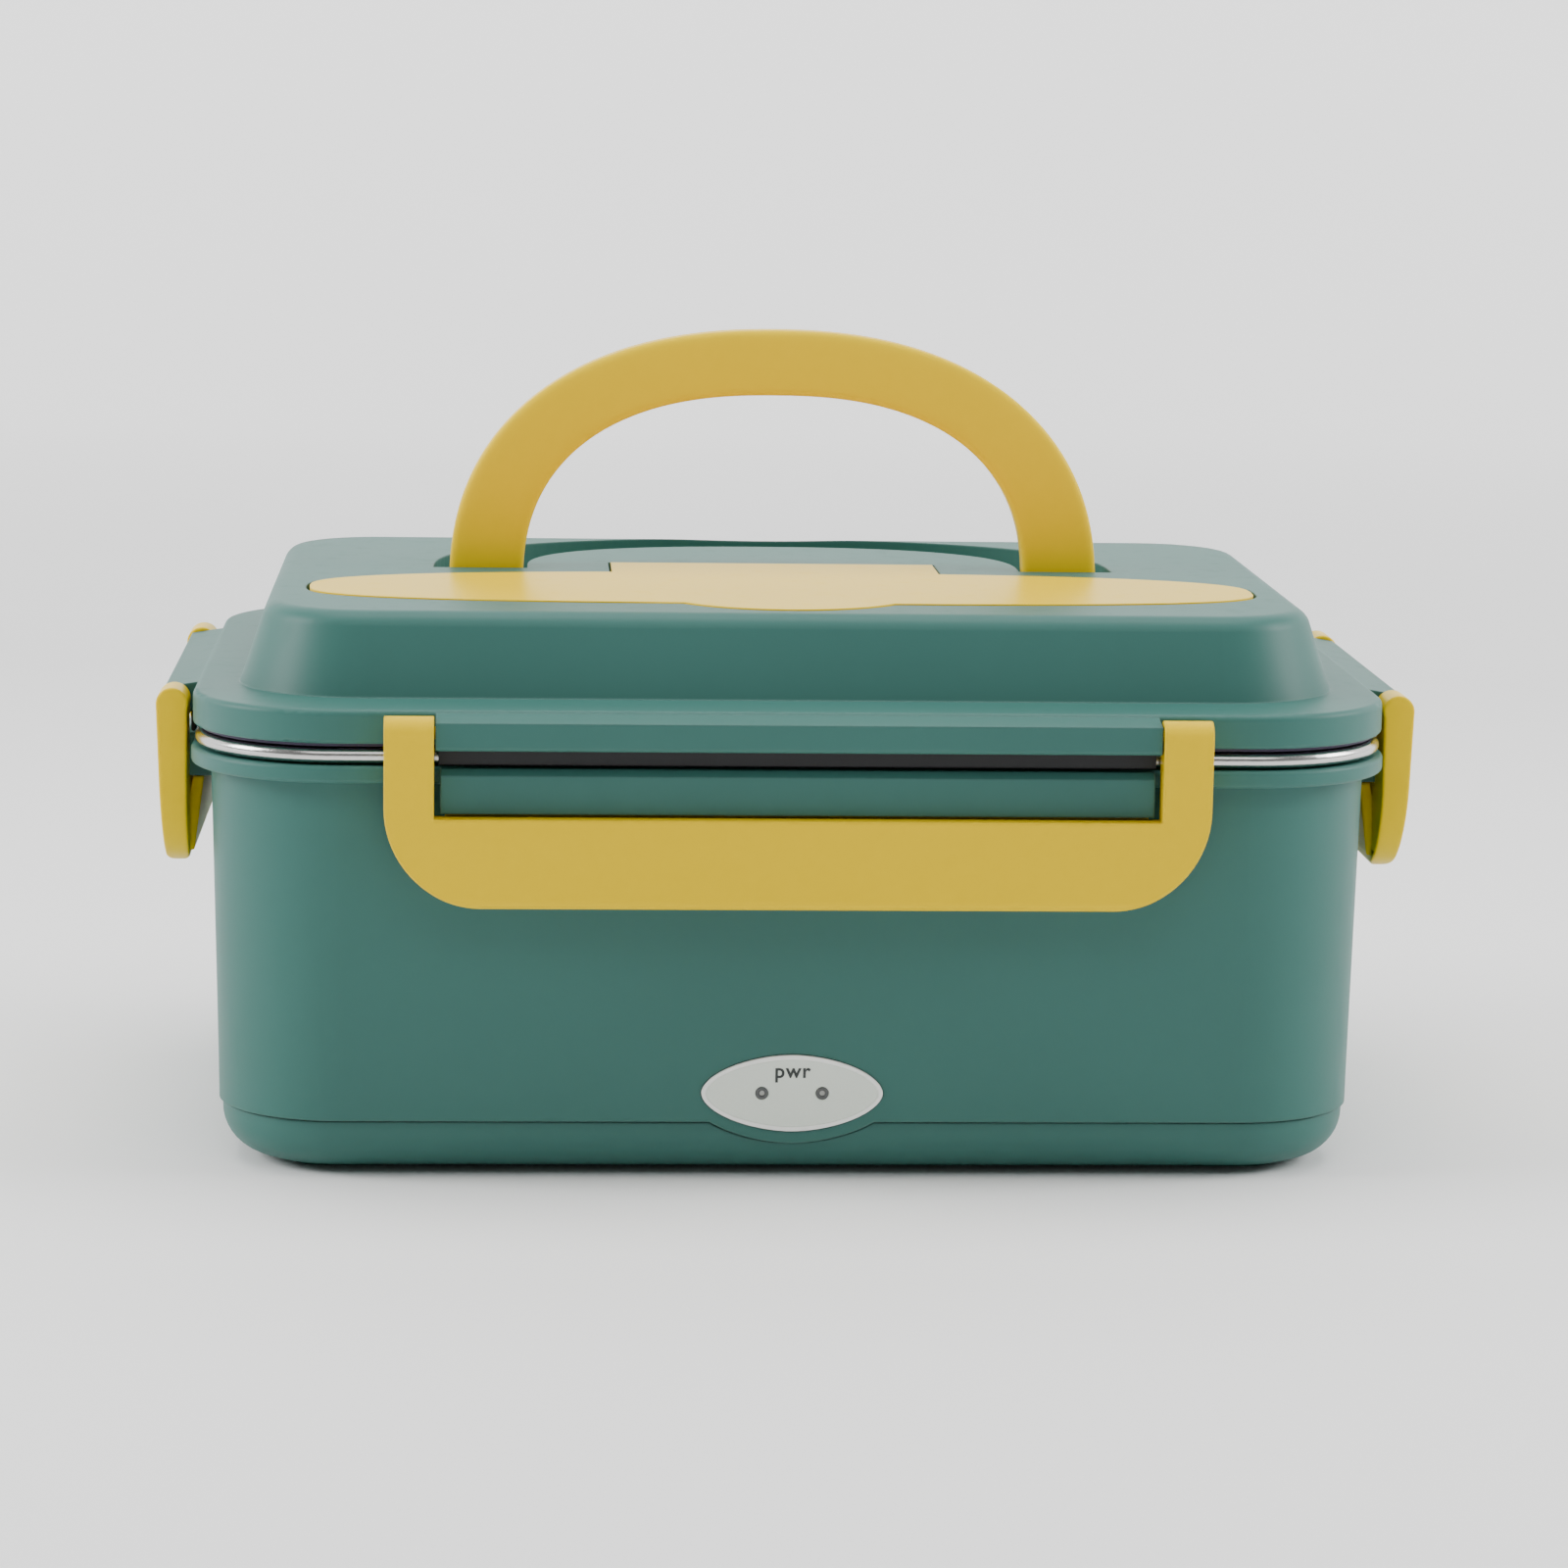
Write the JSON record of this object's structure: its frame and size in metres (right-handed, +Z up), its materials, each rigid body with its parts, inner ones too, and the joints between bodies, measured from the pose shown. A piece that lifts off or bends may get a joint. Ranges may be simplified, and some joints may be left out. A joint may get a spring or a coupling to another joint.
{
  "type": "electric lunch box",
  "caption": "Electric lunch box: heated base, lift-out steel container, lift-off lid held by yellow clips, fold-down handle and cutlery compartment in the lid",
  "frame": {"origin": "on the table under the middle of the box, level with the undersides of the feet", "axes": "+X to the right along the long side, +Y from the badge to the back, +Z up"},
  "size_m": [0.2524, 0.1824, 0.1612],
  "materials": {
    "outer_body": "fine satin moulding",
    "inner_well": "matt heat-resistant plastic",
    "base_cover": "fine satin moulding",
    "heating_plate": "brushed",
    "ptc_heater": "plain extrusion",
    "insulation_sheet": "mica sheet",
    "heater_clamp": "spring steel",
    "screws": "zinc plated",
    "thermostat": "moulded resin",
    "thermal_fuse": "plain can",
    "power_inlet": "black moulding",
    "inlet_pins": "bright",
    "indicator_board": "circuit board",
    "indicator_lamps": "milky, clear coated",
    "badge": "pale grey print",
    "leads": "silicone insulation",
    "steel_container": "bright rolled rim, satin inside",
    "side_dish_tray": "milky polypropylene",
    "lid_shell": "fine satin moulding",
    "inner_lid": "satin moulding",
    "seal_ring": "dark silicone",
    "vent_plug": "milky silicone",
    "cover_hinge_pin": "drawn rod",
    "cutlery": "polished",
    "clips": "soft sheen moulding",
    "handle": "soft sheen moulding",
    "cutlery_cover": "soft sheen moulding"
  },
  "bodies": {
    "base": {"outer_body": "outer_body", "inner_well": "inner_well", "base_cover": "base_cover", "heating_plate": "heating_plate", "ptc_heater": "ptc_heater", "insulation_sheet": "insulation_sheet", "heater_clamp": "heater_clamp", "heater_screws": "screws", "thermostat": "thermostat", "thermal_fuse": "thermal_fuse", "power_inlet": "power_inlet", "inlet_pins": "inlet_pins", "indicator_board": "indicator_board", "indicator_lamps": "indicator_lamps", "badge": "badge", "leads": "leads", "cover_screws": "screws"},
    "container": {"steel_container": "steel_container"},
    "tray": {"side_dish_tray": "side_dish_tray"},
    "lid": {"lid_shell": "lid_shell", "inner_lid": "inner_lid", "seal_ring": "seal_ring", "vent_plug": "vent_plug", "cover_hinge_pin": "cover_hinge_pin", "spoon": "cutlery", "fork": "cutlery"},
    "front_clip": {"front_clip": "clips"},
    "back_clip": {"back_clip": "clips"},
    "left_clip": {"left_clip": "clips"},
    "right_clip": {"right_clip": "clips"},
    "handle": {"handle": "handle"},
    "cutlery_cover": {"cutlery_cover": "cutlery_cover"}
  },
  "joints": [
    {"name": "lid_lift", "type": "slide", "parent": "base", "child": "lid", "axis": [0, 0, 1], "range_m": [0, 0.375]},
    {"name": "container_lift", "type": "slide", "parent": "base", "child": "container", "axis": [0, 0, 1], "range_m": [0, 0.076]},
    {"name": "tray_lift", "type": "slide", "parent": "container", "child": "tray", "axis": [0, 0, 1], "range_m": [0, 0.042]},
    {"name": "front_clip_hinge", "type": "hinge", "parent": "lid", "child": "front_clip", "pos_m": [0, -0.088, 0.0903], "axis": [-1, 0, 0], "range_deg": [0, 105]},
    {"name": "back_clip_hinge", "type": "hinge", "parent": "lid", "child": "back_clip", "pos_m": [0, 0.088, 0.0903], "axis": [1, 0, 0], "range_deg": [0, 105]},
    {"name": "left_clip_hinge", "type": "hinge", "parent": "lid", "child": "left_clip", "pos_m": [-0.123, 0, 0.0903], "axis": [0, 1, 0], "range_deg": [0, 105]},
    {"name": "right_clip_hinge", "type": "hinge", "parent": "lid", "child": "right_clip", "pos_m": [0.123, 0, 0.0903], "axis": [0, -1, 0], "range_deg": [0, 105]},
    {"name": "handle_fold", "type": "hinge", "parent": "lid", "child": "handle", "pos_m": [0, 0.0185, 0.1066], "axis": [-1, 0, 0], "range_deg": [0, 90]},
    {"name": "cover_hinge", "type": "hinge", "parent": "lid", "child": "cutlery_cover", "pos_m": [0, 0.02, 0.1079], "axis": [-1, 0, 0], "range_deg": [0, 50]}
  ],
  "couplings": [
    {"joint": "container_lift", "follows": "lid_lift", "ratio": 0.2},
    {"joint": "tray_lift", "follows": "lid_lift", "ratio": 0.11}
  ]
}
